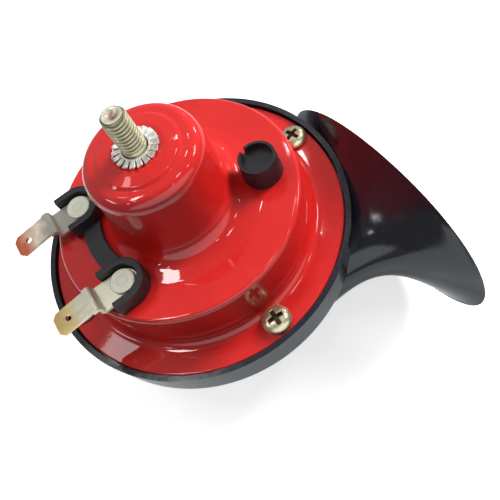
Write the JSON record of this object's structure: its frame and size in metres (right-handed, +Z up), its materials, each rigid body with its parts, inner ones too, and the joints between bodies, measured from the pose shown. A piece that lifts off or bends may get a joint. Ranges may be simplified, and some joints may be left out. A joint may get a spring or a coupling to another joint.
{
  "type": "car horn",
  "caption": "Electric snail horn: pressed steel cup with a central mounting stud and blade terminals, screwed to a coiled plastic trumpet with an oval flared mouth.",
  "frame": {"origin": "On the mounting stud's axis, level with the top of its toothed washer, where the bracket is clamped.", "axes": "+Z runs up the mounting stud, -X points at the blade terminals and +X at the trumpet's mouth."},
  "size_m": [0.0937, 0.0964, 0.0796],
  "materials": {
    "red_paint": "gloss",
    "gloss_black": "gloss",
    "matte_black": "satin",
    "yellow_zinc": "satin",
    "bright_zinc": "satin",
    "tinned_brass": "satin",
    "spring_steel": "satin",
    "soft_steel": "satin",
    "copper_wire": "gloss",
    "tungsten": "satin",
    "gasket_paper": "matte",
    "brown_fibre": "matte",
    "white_nylon": "satin"
  },
  "bodies": {
    "horn": {"red_housing": "red_paint", "mounting_stud": "yellow_zinc", "lock_washer": "bright_zinc", "flange_screws": "yellow_zinc", "upper_gasket": "gasket_paper", "lower_gasket": "gasket_paper", "diaphragm": "spring_steel", "pole_core": "soft_steel", "coil_bobbin": "white_nylon", "coil_winding": "copper_wire", "yoke_plate": "soft_steel", "breaker_top_insulator": "brown_fibre", "breaker_middle_insulator": "brown_fibre", "breaker_bottom_insulator": "brown_fibre", "breaker_fixed_arm": "soft_steel", "fixed_contact": "tungsten", "breaker_rivet": "bright_zinc", "adjuster_cap": "matte_black", "terminal_block": "matte_black", "trumpet_body": "gloss_black", "scroll_cover": "gloss_black", "terminal_lower": "tinned_brass", "terminal_upper": "tinned_brass", "terminal_rivet_lower": "tinned_brass", "terminal_rivet_upper": "tinned_brass", "terminal_bush_lower": "white_nylon", "terminal_bush_upper": "white_nylon"},
    "armature_body": {"armature": "soft_steel", "armature_pusher": "brown_fibre", "clamp_washer": "bright_zinc", "armature_nut": "bright_zinc"},
    "breaker_arm": {"breaker_moving_arm": "spring_steel", "moving_contact": "tungsten"},
    "adjuster": {"adjusting_screw": "yellow_zinc"}
  },
  "joints": [
    {"name": "armature_slide", "type": "slide", "parent": "horn", "child": "armature_body", "axis": [0, 0, 1], "range_m": [0, 0.0006], "stiffness_N_per_m": 2000, "deforming": ["diaphragm"]},
    {"name": "breaker_arm_flex", "type": "hinge", "parent": "horn", "child": "breaker_arm", "pos_m": [0.02601, -0.00795, -0.02712], "axis": [0.2924, 0.9563, 0], "range_deg": [0, 2], "stiffness_Nm_per_rad": 0.002},
    {"name": "adjusting_screw_turn", "type": "hinge", "parent": "horn", "child": "adjuster", "pos_m": [0.02219, -0.00678, -0.0236], "axis": [0, 0, 1], "range_deg": [-180, 180]}
  ],
  "couplings": [
    {"joint": "breaker_arm_flex", "follows": "armature_slide", "rad_per_m": 55}
  ]
}
